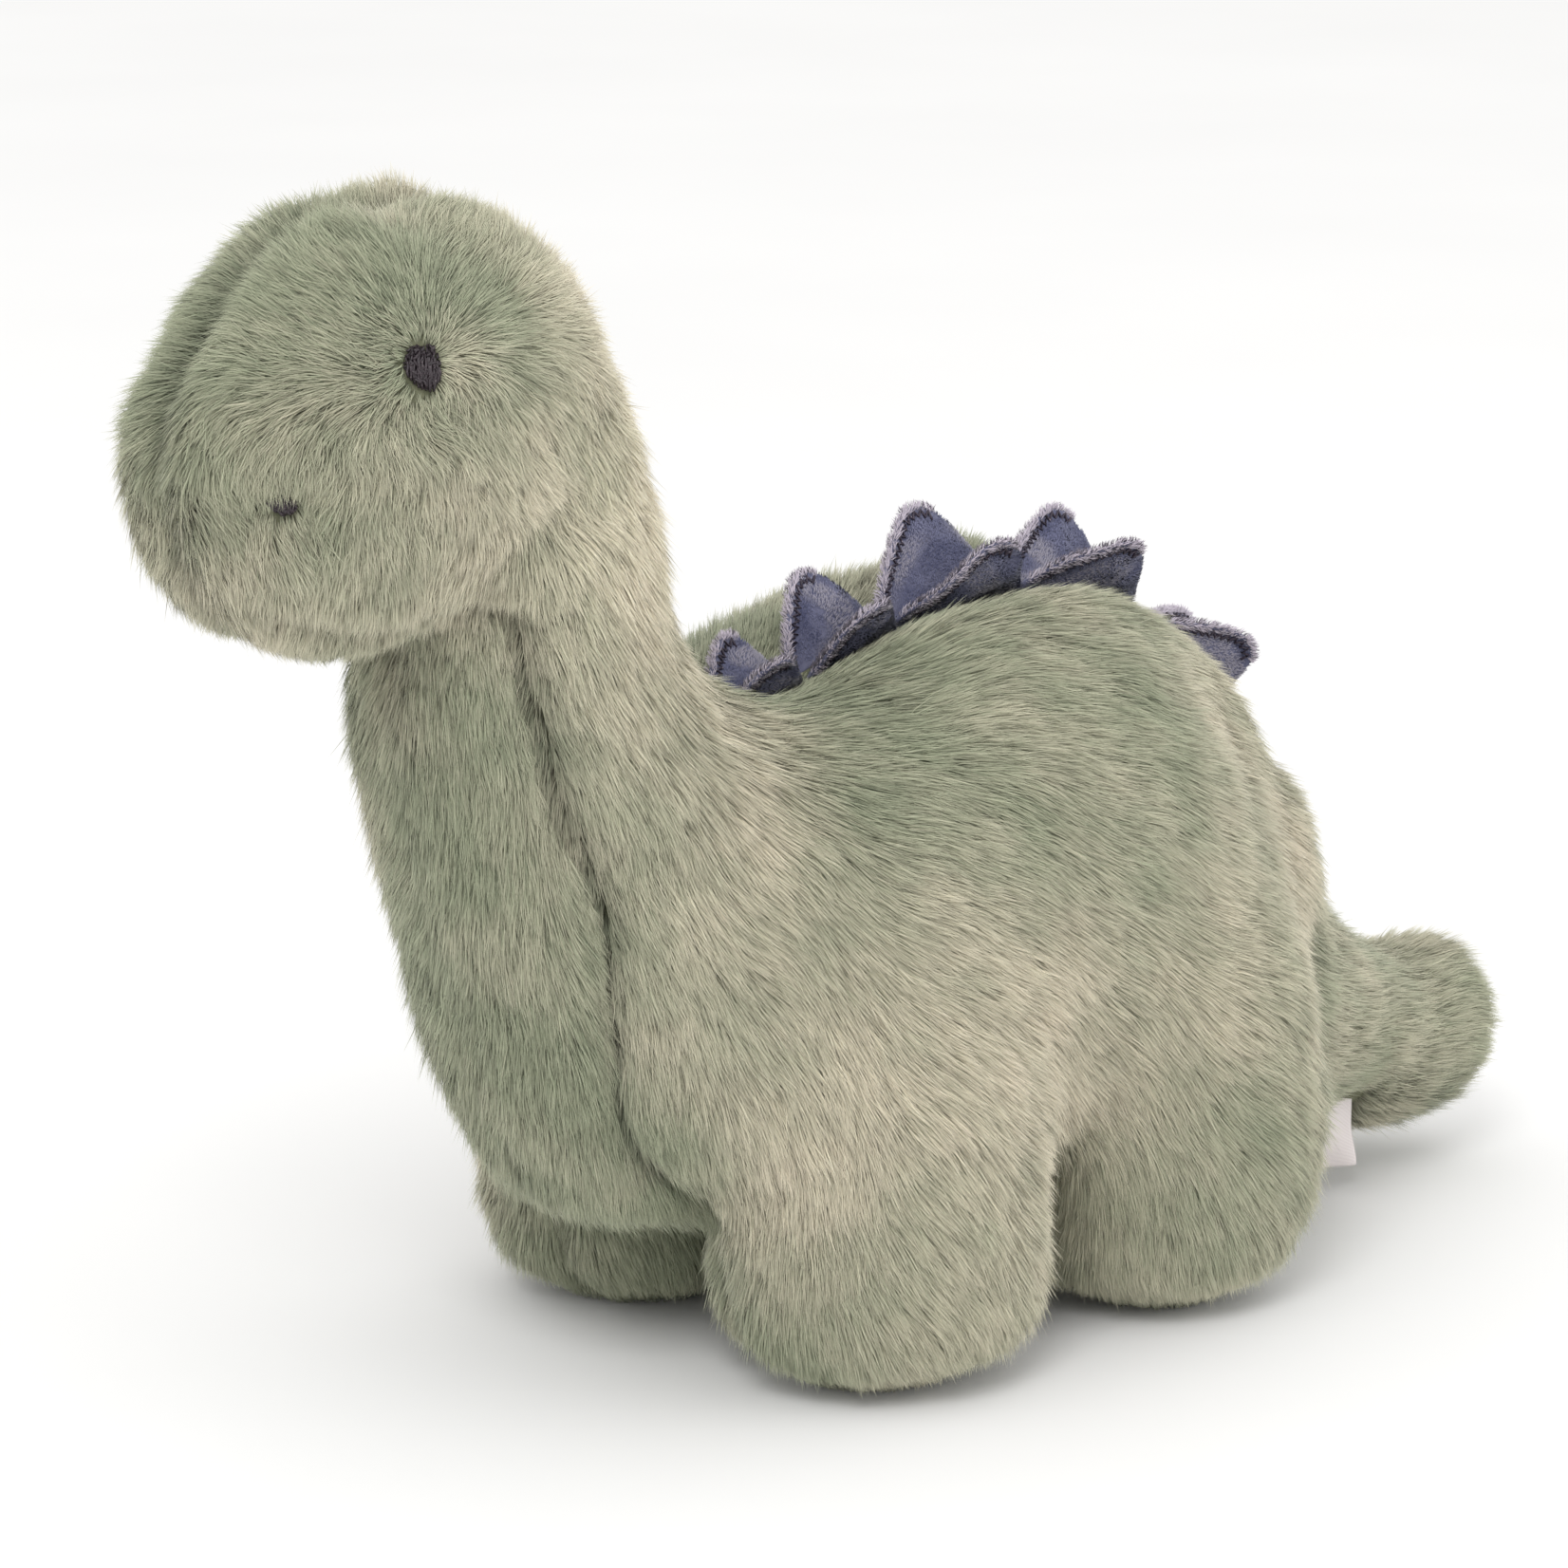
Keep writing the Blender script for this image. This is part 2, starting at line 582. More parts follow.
def spin(v, axis, angle):
    c, s = np.cos(angle)[:, None], np.sin(angle)[:, None]
    return v * c + np.cross(axis, v) * s


EYES = [patch_frame(EYE_PLACE, s) for s in (LEFT, RIGHT)]
NOSTRILS = [patch_frame(NOSTRIL_PLACE, s) for s in (LEFT, RIGHT)]


def patch_distance(p, patch, size):
    """0 at a patch's edge, in mm."""
    centre, _, sideways, up = patch
    d = p - centre
    x, y = d @ sideways / (size[0] / 2), d @ up / (size[1] / 2)
    return (np.hypot(x, y) - 1) * (size[0] + size[1]) / 4


def comb(p, n):
    """Direction that the pile is combed in along the surface, and how much a point belongs to the head."""
    x, y, z = p.T
    side = np.sign(y)
    head = step(-12, 14, along(HEAD_TWIST, p)) * (x < -40)
    neck = step(-26, 20, along(NECK_BEND, p)) * step(-25, -50, x) * (1 - head)
    tail = step(98, 128, x) * step(110, 80, z)
    leg = step(70, 20, z) * (1 - tail) * (1 - head)
    slope = np.radians(38 + 22 * step(-20, -90, x) + 14 * step(50, 100, x) + 14 * step(120, 60, z))
    torso = np.stack([np.cos(slope), 0 * x, -np.sin(slope)], -1)
    ridge = step(0.55, 0.9, n[:, 2])[:, None]
    torso = torso * (1 - ridge) + np.stack([0 * x + 0.9, 0.55 * side, 0 * x - 0.1], -1) * ridge
    chest = step(0.2, 0.7, -n[:, 0])[:, None]
    down = np.stack([0.28 + 0 * x, 0 * x, -1 + 0 * x], -1)
    down = down * (1 - chest) + np.stack([0.1 + 0 * x, 0.12 * side, -1 + 0 * x], -1) * chest
    legs = np.stack([0.4 + 0 * x, 0.05 * side, -1 + 0 * x], -1)
    back = np.stack([1 + 0 * x, 0.15 * side, -0.12 + 0 * x], -1)
    crown = step(0.0, 0.6, n[:, 2])[:, None]
    muzzle = np.stack([0.12 + 0.2 * np.clip((x + 130) / 30, -1, 1), 0.05 * side, -1 + 0 * x], -1)
    muzzle = muzzle * (1 - crown) + (unit(p - EYES[0][0]) + [0, 0, -0.1]) * crown
    for patch in EYES:
        away = p - patch[0]
        r = np.linalg.norm(away, axis=1)
        w = np.exp(-(r / 20) ** 2)[:, None]
        muzzle = muzzle * (1 - w * 0.6) + unit(away) * w
    for patch in NOSTRILS:
        away = p - patch[0]
        r = np.linalg.norm(away, axis=1)
        muzzle = muzzle + unit(away) * (0.7 * np.exp(-(r / 6) ** 2))[:, None]
    muzzle[:, 1] += side * 0.4 * np.exp(-(y / 9) ** 2)
    d = torso * (1 - neck - leg * (1 - neck)).clip(0, 1)[:, None] * (1 - head)[:, None] * (1 - tail)[:, None]
    d = d + down * neck[:, None] + legs * (leg * (1 - neck))[:, None]
    d = d + back * tail[:, None] + muzzle * head[:, None]
    seam = np.sign(gusset_edge(p)) * side * np.exp(-(gusset_edge(p) / 6) ** 2) * gusset_mask(p)
    d[:, 1] += 0.3 * seam
    d = d - (d * n).sum(1, keepdims=True) * n
    d = unit(d)
    swirl = 1 + 2 * head * step(180, 230, z)
    return spin(d, n, swirl * (0.09 * waves(3, 46)(p) + 0.06 * waves(4, 19)(p))), head


# How beige the pile is (0 green to 1 beige) at places on the left side, in mm
TONES = [(-182, -17, 262, 0.0), (-177, -31, 240, 0.25), (-147, -35, 220, 0.7), (-102, -28, 228, 1.0),
         (-194, -17, 213, 0.5), (-170, -30, 190, 0.65), (-139, -16, 178, 0.0), (-130, -5, 119, 0.05),
         (-114, -19, 73, 0.05), (-101, -33, 183, 0.95), (-38, -40, 152, 0.0), (-16, -64, 116, 0.42),
         (-84, -42, 147, 0.75), (54, -65, 105, 0.58), (-20, -69, 86, 0.9), (-56, -72, 34, 0.5),
         (43, -73, 27, 0.3), (170, -22, 46, 0.3), (-150, 5, 281, 0.15), (-126, -17, 277, 0.6),
         (-140, -35, 256, 0.2), (-127, -28, 190, 0.5), (-120, -32, 172, 0.3), (-119, -30, 136, 0.25),
         (-99, -44, 129, 0.6), (-66, -65, 87, 0.8), (18, -34, 169, 0.25), (50, -50, 150, 0.3),
         (100, -30, 120, 0.65), (137, -23, 70, 0.35), (193, -18, 39, 0.3), (-16, -71, 59, 0.7),
         (-66, 35, 14, 0.1), (20, -60, 140, 0.2), (-60, -50, 160, 0.3)]


def tone(p):
    total, weight = np.zeros(len(p)), np.full(len(p), 1e-6)
    for x, y, z, beige in TONES:
        for s in (1, -1):
            w = np.exp(-((p - [x, y * s, z]) ** 2).sum(1) / 26 ** 2)
            total += w * beige
            weight += w
    t = (total + 1e-6 * 0.45) / weight
    return np.clip(t + 0.09 * waves(21, 44)(p) + 0.06 * waves(22, 18)(p), 0, 1)


def grow_fur():
    tris = np.concatenate([SKIN_Q[:, [0, 1, 2]], SKIN_Q[:, [0, 2, 3]]])
    region = np.concatenate([SKIN_R, SKIN_R])
    middle = SKIN_P[tris].mean(1)
    under = step(10, 3, middle[:, 2])
    hidden = (np.abs(middle[:, 1]) < 30) & (middle[:, 2] < 40) & (middle[:, 0] > -60) & (middle[:, 0] < 100)
    weight = (1 - 0.75 * under) * np.where(hidden, 0.6, 1.0)
    weight *= 1 + 0.25 * (middle[:, 1] < 5)
    p, n, f = sample(SKIN_P, SKIN_N, tris, STRANDS, weight)
    where = region[f]
    keep = np.ones(len(p), bool)
    near = np.full(len(p), 99.0)
    for patch in EYES:
        d = patch_distance(p, patch, EYE_SIZE)
        keep &= (d > -0.9) | (np.linalg.norm(p - patch[0], axis=1) > 12)
        near = np.minimum(near, np.where(np.linalg.norm(p - patch[0], axis=1) < 30, np.maximum(d, 0), 99))
    for patch in NOSTRILS:
        d = patch_distance(p, patch, NOSTRIL_SIZE)
        keep &= (d > -0.5) | (np.linalg.norm(p - patch[0], axis=1) > 9)
        near = np.minimum(near, np.where(np.linalg.norm(p - patch[0], axis=1) < 20, np.maximum(d, 0), 99))
    # thinner along the seams, none under the plates' roots
    head_like = along(HEAD_TWIST, p) > 0
    keep &= (np.abs(gusset_edge(p)) > 0.9) | (gusset_mask(p) < 0.5) | (rng.random(len(p)) < 0.75)
    keep &= (np.abs(p[:, 1]) > 0.7) | ~head_like | (rng.random(len(p)) < 0.75)
    for row in PLATES:
        a, b, d, up = plate_root(row)
        t = (p - a) @ d
        inside = (t > -1) & (t < (b - a) @ d + 1) & (np.abs(p[:, 1]) < 7) & (np.abs((p - a) @ up) < 12)
        keep &= ~inside
    # no pile grows where the label hangs
    tag = np.abs(p - [147, -22, 22])
    keep &= ~((tag[:, 0] < 7.5) & (tag[:, 1] < 14) & (tag[:, 2] < 9))
    p, n, where, near = p[keep], n[keep], where[keep], near[keep]
    order = np.lexsort((np.floor(p[:, 0] / 4), np.floor(p[:, 2] / 4), np.sign(p[:, 1])))
    p, n, where, near = p[order], n[order], where[order], near[order]
    count = len(p)

    lay, head = comb(p, n)
    # strands lean together in small tufts
    pick = rng.choice(count, count // STRANDS_PER_TUFT, replace=False)
    tree = kdtree.KDTree(len(pick))
    for i, j in enumerate(pick):
        tree.insert(p[j], i)
    tree.balance()
    tuft = np.fromiter((tree.find(q)[1] for q in p), int, count)
    tn = len(pick)
    rough = 1 + head * step(200, 240, p[:, 2])
    turn = (rng.normal(0, 0.09, tn)[tuft] + rng.normal(0, 0.12, count)) * rough
    lay = spin(lay, n, turn)
    length = STRAND_LENGTH * np.clip(rng.normal(1, 0.06, tn), 0.8, 1.2)[tuft]
    length = length * np.clip(rng.normal(1, 0.12, count), 0.55, 1.3)
    # shorter round the stitching, in the seams, at the soles, by the plates, under the jaw and by the label
    length *= 1 - 0.1 * head
    length *= 0.42 + 0.58 * step(-1, 11, near)
    length *= 1 - 0.25 * np.exp(-(p[:, 1] / 4) ** 2) * head
    length *= 1 - 0.3 * np.exp(-(gusset_edge(p) / 3.5) ** 2) * gusset_mask(p)
    length *= np.where(p[:, 0] < 100, 0.3 + 0.7 * step(2, 22, p[:, 2]), 1)
    plate_near = np.full(count, 99.0)
    for row in PLATES:
        plate_near = np.minimum(plate_near, root_distance(row, p))
    length *= 0.2 + 0.8 * step(7, 25, plate_near)
    length *= 1 - 0.35 * head * step(208, 190, p[:, 2])
    length *= 1 - 0.6 * np.exp(-(np.linalg.norm(p - [146, -24, 24], axis=1) / 15) ** 4)
    lift = np.radians(rng.normal(0, 4, tn))[tuft] + np.radians(rng.normal(0, 8, count)) + 0.06 * waves(9, 26)(p)
    lift = lift - 0.25 * np.exp(-(near / 7) ** 2) - 0.3 * (1 - step(4, 20, p[:, 2]))
    path = np.empty((count, 3, 3))
    path[:, 0] = p - n * 0.4
    at = path[:, 0].copy()
    for k, degrees in enumerate(STRAND_ANGLES):
        a = np.clip(math.radians(degrees) + lift, 0.03, 1.45)[:, None]
        at = at + (np.cos(a) * lay + np.sin(a) * n) * (length / 2)[:, None]
        path[:, k + 1] = at
    mean = np.zeros((tn, 3, 3))
    number = np.bincount(tuft, minlength=tn).clip(1)[:, None]
    for k in range(3):
        for a in range(3):
            mean[:, k, a] = np.bincount(tuft, weights=path[:, k, a], minlength=tn)
    mean /= number[:, None]
    tight = rng.uniform(0.05, 0.42, tn)[tuft][:, None]
    for k, share in ((1, 0.3), (2, 0.85)):
        path[:, k] += (mean[tuft, k] - path[:, k]) * tight * share
    path[:, :, 2] = np.maximum(path[:, :, 2], 0.35)

    t = np.clip(tone(p) + rng.normal(0, 0.04, tn)[tuft] + rng.normal(0, 0.09, count), 0, 1)[:, None]
    light = (np.clip(rng.normal(1, 0.05, tn), 0.8, 1.2)[tuft] * np.clip(rng.normal(1, 0.1, count), 0.7, 1.4))
    light *= 1 - 0.3 * np.exp(-(gusset_edge(p) / 3) ** 2) * gusset_mask(p)
    light *= 1 - 0.32 * np.exp(-(p[:, 1] / 3.2) ** 2) * head
    light *= 1 + 0.19 * np.exp(-((p * [1, 0, 1] - [-102, 0, 226]) ** 2).sum(1) / 32 ** 2)
    for centre, _, sideways, up in EYES:
        pale = np.exp(-((p - centre - 7 * sideways - up) ** 2).sum(1) / 5 ** 2)
        light *= 1 + 0.15 * pale
        t = np.clip(t + 0.4 * pale[:, None], 0, 1)
    root = srgb(88, 91, 73) * (1 - t) + srgb(138, 131, 113) * t
    mid = srgb(137, 144, 120) * (1 - t) + srgb(199, 190, 168) * t
    tip = srgb(172, 176, 150) * (1 - t) + srgb(233, 223, 202) * t
    colours = np.stack([root, mid, tip], axis=1) * light[:, None, None]
    colours = np.clip(colours, 0, 0.95)

    along_strand = unit(path[:, 2] - path[:, 0])
    across = unit(np.cross(along_strand, n))
    across = unit(spin(across, along_strand, rng.uniform(-0.9, 0.9, count)))
    made = []
    for k, name in enumerate(REGIONS):
        index = np.nonzero(where == k)[0]
        chunks = max(1, math.ceil(len(index) / STRANDS_PER_PIECE))
        for c, part in enumerate(np.array_split(index, chunks)):
            seg = np.diff(path[part], axis=1)
            seg = unit(np.concatenate([seg, seg[:, -1:]], axis=1))
            geo = unit(np.cross(across[part][:, None, :], seg))
            soft = unit(0.62 * n[part][:, None, :] + 0.38 * geo)
            made.append((name, ribbons(f"fur_{name}_{c + 1}", path[part], across[part], STRAND_WIDTHS,
                                       colours[part], soft, FUR)))
    return made


fur = grow_fur()


# ---------------------------------------------------------------- tubes for threads
def tube(paths, radius, sides=5):
    """Thin tubes along paths, as one list of points and faces."""
    points, faces = [], []
    for path in paths:
        path = np.asarray(path, float)
        seg = np.gradient(path, axis=0)
        seg = unit(seg)
        ref = np.where(np.abs(seg[:, 2:]) < 0.9, [[0, 0, 1.0]], [[1.0, 0, 0]])
        u = unit(np.cross(seg, ref))
        v = np.cross(seg, u)
        base = len(points)
        for i in range(len(path)):
            for k in range(sides):
                a = 2 * math.pi * k / sides
                points.append(path[i] + radius * (math.cos(a) * u[i] + math.sin(a) * v[i]))
        for i in range(len(path) - 1):
            for k in range(sides):
                a, b = base + i * sides + k, base + i * sides + (k + 1) % sides
                faces.append((a, b, b + sides, a + sides))
        faces.append(tuple(base + k for k in range(sides))[::-1])
        faces.append(tuple(base + (len(path) - 1) * sides + k for k in range(sides)))
    return np.array(points), faces


def embroidery(name, patch, size, node):
    """Satin stitches side by side over an oval, on a bed of crossing ones."""
    centre, out, sideways, up = patch
    r = np.random.default_rng(len(name) + int(size[0] * 10))
    paths = []
    for layer, (pitch, tilt, rise) in enumerate(((0.62, 1.2, 0.5), (0.5, 0.12, 1.0))):
        a, b = size[0] / 2 * (0.97 if layer else 0.9), size[1] / 2 * (0.97 if layer else 0.9)
        along_dir = math.cos(tilt) * up + math.sin(tilt) * sideways
        cross_dir = math.cos(tilt) * sideways - math.sin(tilt) * up
        reach = math.hypot(a * math.cos(tilt), b * math.sin(tilt))
        half = a * b / reach
        for x in np.arange(-reach + 0.3, reach - 0.2, pitch):
            h = half * math.sqrt(max(0, 1 - (x / reach) ** 2)) * r.uniform(0.78, 1.08)
            s = np.linspace(-1, 1, 8)
            wob = r.normal(0, 0.12)
            path = []
            for q in s:
                flat = cross_dir * (x + wob + 0.16 * math.sin(5 * q + x * 3)) + along_dir * (q * h)
                path.append((flat, rise * (1 - q ** 4) * 0.9 * (1 - 0.35 * (x / reach) ** 2) + 0.5 * layer))
            paths.append(path)
    for k in range(int(size[0] * size[1] * 0.45)):
        mid = r.uniform(-0.72, 0.72, 2) * [size[0] / 2, size[1] / 2]
        turn, long = r.normal(1.3, 0.6), r.uniform(1.0, 2.0)
        dx, dy = math.cos(turn) * long / 2, math.sin(turn) * long / 2
        paths.append([((mid[0] + dx * q) * sideways + (mid[1] + dy * q) * up, 1.0 + 0.65 * (1 - q * q)) for q in
                      np.linspace(-1, 1, 5)])
    shaped = []
    for path in paths:
        points = []
        for flat, height in path:
            low = max(0.0, -(flat @ up) / (size[1] / 2))
            flat = flat - sideways * (flat @ sideways) * 0.42 * low * low + sideways * 0.9 * low
            points.append(centre + flat + out * height)
        shaped.append(points)
    paths = shaped
    points, faces = tube(paths, 0.31, 6)
    obj = mesh_object(name, points * MM, faces)
    obj.data.shade_smooth()
    obj.data.materials.append(EYE_THREAD)
    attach(obj, "head")
    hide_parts(node)


for s, word in ((0, "left"), (1, "right")):
    embroidery("eye_stitches_" + word, EYES[s], EYE_SIZE, "eye_" + word)
    embroidery("nostril_stitches_" + word, NOSTRILS[s], NOSTRIL_SIZE, "nostril_" + word)


# ---------------------------------------------------------------- back plates
def plate_outline(row, count=132):
    """Closed outline in the plate's own frame, evenly spaced, and how far along the stitched front edge."""
    a, b, _, _ = plate_root(row)
    length, height = float(np.linalg.norm(b - a)), row[2]
    corners = np.array([[0, 0, PLATE_T / 2], [length, 0, PLATE_T / 2],
                        [TIP_BACK * length, (1 - TIP_SHARE) * height, TIP_SHARE * height]])
    dirs = np.radians(np.arange(0, 360, 3))
    d = np.stack([np.cos(dirs), np.sin(dirs)], -1)
    which = (d @ corners[:, :2].T + corners[:, 2]).argmax(1)
    line = corners[which, :2] + corners[which, 2:] * d
    line = np.concatenate([line, line[:1]])
    travel = np.concatenate([[0], np.cumsum(np.linalg.norm(np.diff(line, axis=0), axis=1))])
    s = np.linspace(0, travel[-1], count, endpoint=False)
    out = np.stack([np.interp(s, travel, line[:, k]) for k in (0, 1)], -1)
    toward = unit(corners[2, :2])
    off = np.array([-toward[1], toward[0]])
    front = ((out @ off) > corners[0, 2] * 0.35) & ((out @ toward) > 0.5)
    share = np.clip((out @ toward) / np.linalg.norm(corners[2, :2]), 0, 1)
    out = out + (0.9 * np.sin(np.pi * share) * front)[:, None] * off
    return out, front


def plate_depth(q, out, front):
    """Half thickness at points of the leaf, in mm."""
    d = np.linalg.norm(q[:, None] - out[None], axis=2)
    d_front, d_other = d[:, front].min(1), d[:, ~front].min(1)
    full = 2.9
    r = np.clip(1 - d_other / 5.0, 0, 1)
    other = full * np.sqrt(1 - r ** 2)
    seam = 0.62 * np.sqrt(np.clip(d_front / 0.7, 0, 1)) + (full - 0.62) * step(2.6, 9.5, d_front)
    return np.minimum(other, seam), d_front


def leaf_place(row, side):
    a, b, d, up = plate_root(row)
    lean = math.radians(LEAN[side])
    y = np.array([0, 1.0, 0])
    # the leaf's height and thickness directions after it leans about its root
    high = up * math.cos(lean) - y * math.sin(lean)
    thick = y * math.cos(lean) + up * math.sin(lean)
    origin = a + y * side * PLATE_ROOT_Y
    return lambda q: origin + q[..., 0:1] * d + q[..., 1:2] * thick + q[..., 2:3] * high


def build_plate(number, side):
    row = PLATES[number - 1]
    word = "left" if side == LEFT else "right"
    body = f"plate_{number}_{word}"
    out, front = plate_outline(row)
    place = leaf_place(row, side)
    wobble = waves(100 + number * 2 + side, 15)
    centre = out.mean(0)
    levels = np.array([0.0, 0.2, 0.38, 0.54, 0.67, 0.77, 0.85, 0.9, 0.94, 0.97, 0.985])
    grid = centre + (out - centre)[None] * levels[1:, None, None]
    flat = np.concatenate([centre[None], grid.reshape(-1, 2)])
    depth, _ = plate_depth(flat, out, front)
    q3 = np.column_stack([flat[:, 0], 0 * depth, flat[:, 1]])
    depth = depth * (1 + 0.08 * wobble(q3))
    warp = waves(300 + number * 2 + side, 24)
    bend = 0.45 * warp(q3)
    edge3 = np.column_stack([out[:, 0], 0.45 * warp(np.column_stack([out[:, 0], 0 * out[:, 0], out[:, 1]])),
                             out[:, 1]])
    a_side = np.column_stack([flat[:, 0], bend + depth, flat[:, 1]])
    b_side = np.column_stack([flat[:, 0], bend - depth, flat[:, 1]])
    m, rings = len(out), len(levels) - 1
    points = np.concatenate([a_side, b_side, edge3])
    faces = []
    for base, flip in ((0, False), (len(a_side), True)):
        for j in range(m):
            k = (j + 1) % m
            tri = (base, base + 1 + j, base + 1 + k)
            faces.append(tri[::-1] if not flip else tri)
            for i in range(rings):
                p0, p1 = base + 1 + i * m + j, base + 1 + i * m + k
                if i < rings - 1:
                    p2, p3 = p1 + m, p0 + m
                else:
                    p2, p3 = 2 * len(a_side) + k, 2 * len(a_side) + j
                quad = (p0, p3, p2, p1)
                faces.append(quad[::-1] if not flip else quad)
    world = place(points)
    leaf = mesh_object(f"velour_leaf_{number}_{word}", world * MM, faces)
    leaf.data.shade_smooth()
    leaf.data.materials.append(VELOUR)
    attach(leaf, body)
    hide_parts(f"{body}_velour", f"{body}_wadding")

    # short pile
    nrm = normals_of(leaf.data)
    tris = []
    for f in faces:
        tris.append(f[:3])
        if len(f) == 4:
            tris.append((f[0], f[2], f[3]))
    tris = np.array(tris)
    area = np.linalg.norm(np.cross(world[tris[:, 1]] - world[tris[:, 0]], world[tris[:, 2]] - world[tris[:, 0]]),
                          axis=1).sum() / 2
    p, n, local = sample(world, nrm, tris, int(area * 7.5), extra=points)
    d_front = np.linalg.norm(local[:, None, [0, 2]] - out[front][None], axis=2).min(1)
    stitch = (d_front > 1.25) & (d_front < 3.3) & (np.abs(local[:, 1]) > 0.3)
    keep = ~(stitch & (rng.random(len(p)) < 0.8)) & (local[:, 2] > -0.5)
    p, n, local, d_front = p[keep], n[keep], local[keep], d_front[keep]
    allowance = d_front < 1.3
    sweep = place(np.array([[0.25, 0, 1.0]]))[0] - place(np.array([[0, 0, 0.0]]))[0]
    lay = sweep - (n @ sweep)[:, None] * n
    lay = unit(lay + 1e-6)
    patchy = 0.5 * waves(50 + number, 12)(local) + 0.5 * waves(60 + number * 3 + side, 5)(local)
    lay = spin(lay, n, 0.5 * patchy + rng.normal(0, 0.35, len(p)))
    long = np.where(allowance, 2.1, 1.0) * rng.uniform(0.7, 1.15, len(p))
    path = np.empty((len(p), 3, 3))
    path[:, 0] = p - n * 0.1
    path[:, 1] = p + (n * 0.85 + lay * 0.5) * (long / 2)[:, None]
    path[:, 2] = path[:, 1] + (n * 0.5 + lay * 0.85) * (long / 2)[:, None]
    shade = np.clip(0.5 + 0.28 * patchy + rng.normal(0, 0.14, len(p)), 0, 1)[:, None]
    worn = step(0.1, 1.0, waves(70 + number + 7 * side, 17)(local))[:, None] * 0.75
    dark = srgb(76, 79, 108) * (1 - shade) + srgb(120, 122, 150) * shade
    pale = srgb(162, 158, 170)
    c = dark * (1 - worn) + pale * worn
    edge = step(2.0, 0.9, d_front)[:, None]
    c = c * (1 - edge) + srgb(198, 189, 202) * edge * rng.uniform(0.8, 1.1, (len(p), 1))
    colours = np.stack([c * 0.7, c, c * 1.12], axis=1)
    along_strand = unit(path[:, 2] - path[:, 0])
    across = unit(np.cross(along_strand, n))
    across = unit(spin(across, along_strand, rng.uniform(-0.7, 0.7, len(p))))
    pile = ribbons(f"velour_pile_{number}_{word}", path, across, [0.3, 0.24], np.clip(colours, 0, 0.9),
                   np.repeat(n[:, None], 3, axis=1), PILE)
    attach(pile, body)

    # overlock stitches on both faces of the front edge
    line = out[front]
    toward = unit(np.array([TIP_BACK * float(np.linalg.norm(plate_root(row)[1] - plate_root(row)[0])),
                            (1 - TIP_SHARE) * row[2]]))
    line = line[np.argsort(line @ toward)]
    travel = np.concatenate([[0], np.cumsum(np.linalg.norm(np.diff(line, axis=0), axis=1))])
    inward = unit(centre - line)
    paths = []
    total = travel[-1]
    n_stitch = int(total / STITCH_PITCH)
    for face in (1, -1):
        zig = []
        for i in range(n_stitch * 2 + 1):
            s = total * i / (n_stitch * 2)
            at = np.array([np.interp(s, travel, line[:, k]) for k in (0, 1)])
            inn = unit(np.array([np.interp(s, travel, inward[:, k]) for k in (0, 1)]))
            phase = (i % 4) / 4
            deep = 1.2 + 2.0 * abs(2 * phase - 1)
            q = at + inn * deep
            t, _ = plate_depth(q[None], out, front)
            bend_q = 0.45 * warp(np.array([[q[0], 0, q[1]]]))
            zig.append([q[0], float(bend_q[0]) + face * (float(t[0]) + 0.42), q[1]])
        paths.append(place(np.array(zig)))
    tp, tf = tube(paths, 0.33, 6)
    thread = mesh_object(f"overlock_{number}_{word}", tp * MM, tf)
    thread.data.shade_smooth()
    thread.data.materials.append(OVERLOCK)
    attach(thread, body)
    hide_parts(f"{body}_thread")


for number in range(1, 6):
    for side in (LEFT, RIGHT):
        build_plate(number, side)


# ---------------------------------------------------------------- label: a folded satin loop
def build_label():
    """A satin strip folded in half, with its fold hanging down and its ends at the hinge."""
    lo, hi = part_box("label")
    top, bottom = hi[2] / MM, lo[2] / MM
    x0, x1 = lo[0] / MM + LABEL_SHIFT, hi[0] / MM + LABEL_SHIFT
    middle = (lo[1] + hi[1]) / 2 / MM
    half, drop = 0.75, top - bottom
    straight = drop - half
    total = 2 * straight + math.pi * half
    n_len, n_wid = 60, 24
    points, faces = [], []
    soft = waves(5, 16)
    for i in range(n_len + 1):
        s = total * i / n_len
        if s < straight:
            y, z = -half, top - s
        elif s < straight + math.pi * half:
            a = (s - straight) / half
            y, z = -half * math.cos(a), top - straight - half * math.sin(a)
        else:
            y, z = half, top - (total - s)
        for k in range(n_wid + 1):
            x = x0 + (x1 - x0) * k / n_wid
            hang = (top - z) / drop
            wave = hang * 0.8 * float(soft(np.array([[x, 0, z]]))[0])
            points.append((x, middle + y * (1 + 0.35 * hang) + wave, max(z, 0.8)))
    for i in range(n_len):
        for k in range(n_wid):
            a = i * (n_wid + 1) + k
            faces.append((a, a + 1, a + n_wid + 2, a + n_wid + 1))
    obj = mesh_object("satin_label", np.array(points) * MM, faces)
    obj.data.shade_smooth()
    obj.data.materials.append(SATIN)
    thick = obj.modifiers.new("thick", "SOLIDIFY")
    thick.thickness = 0.0003
    thick.offset = 0
    applied(obj)
    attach(obj, "label")
    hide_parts("label")


build_label()

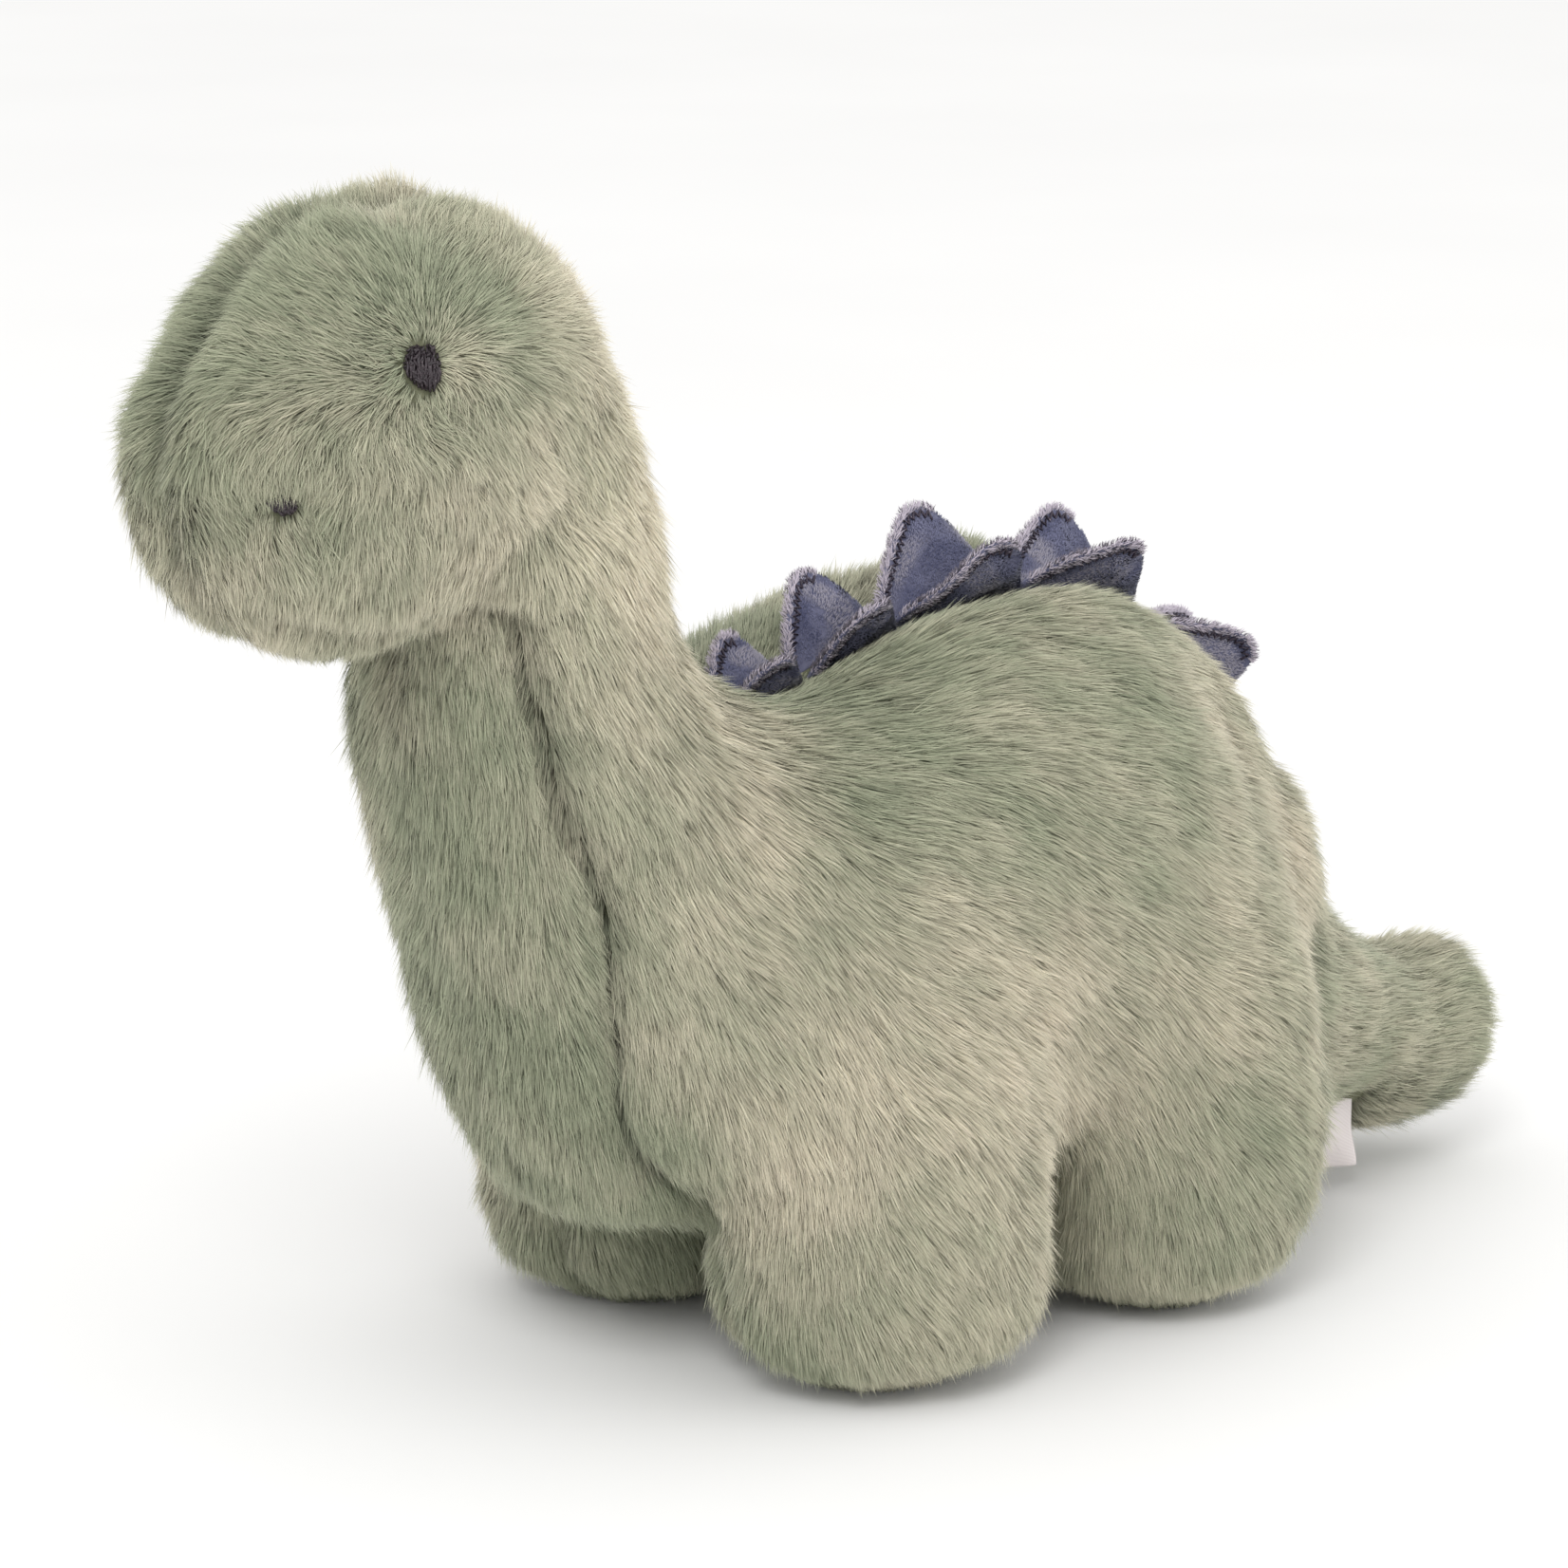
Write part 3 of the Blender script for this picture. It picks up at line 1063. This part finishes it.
# ---------------------------------------------------------------- bodies that the plush follows
COVERS = {
    "torso": ("body_side_left", "body_side_right", "underside_gusset", "body_fill", "front_leg_fill_left",
              "front_leg_fill_right", "rear_leg_fill_left", "rear_leg_fill_right"),
    "neck": ("neck_side_left", "neck_side_right", "throat_gusset", "neck_fill"),
    "head": ("head_side_left", "head_side_right", "head_fill"),
    "tail": ("tail_side_left", "tail_side_right", "tail_fill"),
}


def follow(name, obj):
    if name == "torso":
        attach(obj, "torso")
        return
    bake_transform(obj)


for name, obj in skins.items():
    obj.data.materials.append(BACKING)
    follow(name, obj)
    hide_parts(*COVERS[name])
for name, obj in fur:
    follow(name, obj)

# ---------------------------------------------------------------- floor, light and camera
floor = mesh_object("floor", [(-9, -9, 0), (9, -9, 0), (9, 9, 0), (-9, 9, 0)], [(0, 1, 2, 3)])
floor.data.materials.append(FLOOR)

scene = bpy.context.scene
scene.view_settings.view_transform = "Standard"
scene.view_settings.look = "None"
world = bpy.data.worlds.new("world")
scene.world = world
world.use_nodes = True
world.node_tree.nodes["Background"].inputs["Color"].default_value = (1.0, 0.995, 0.985, 1)
world.node_tree.nodes["Background"].inputs["Strength"].default_value = 1.06


def lamp(name, place, aim, size, power, colour=(1, 1, 1)):
    data = bpy.data.lights.new(name, "AREA")
    data.shape = "DISK"
    data.size, data.energy, data.color = size, power, colour
    obj = bpy.data.objects.new(name, data)
    scene.collection.objects.link(obj)
    obj.location = place
    obj.rotation_euler = (Vector(aim) - Vector(place)).to_track_quat("-Z", "Y").to_euler()


lamp("key", (-1.5, -1.2, 1.9), (-0.02, 0, 0.14), 1.1, 22)
lamp("fill", (1.2, -1.6, 0.8), (0.0, 0, 0.12), 1.4, 6)

camera = bpy.data.cameras.new("camera")
camera.lens = 135.6
camera.sensor_width = 36
camera.clip_start, camera.clip_end = 0.05, 30
cam = bpy.data.objects.new("camera", camera)
scene.collection.objects.link(cam)
target = Vector((-0.0273, 0.0, 0.135))
cam.location = Vector((-0.9166, -1.0598, 0.4723))
cam.rotation_euler = (target - cam.location).to_track_quat("-Z", "Y").to_euler()
scene.camera = cam
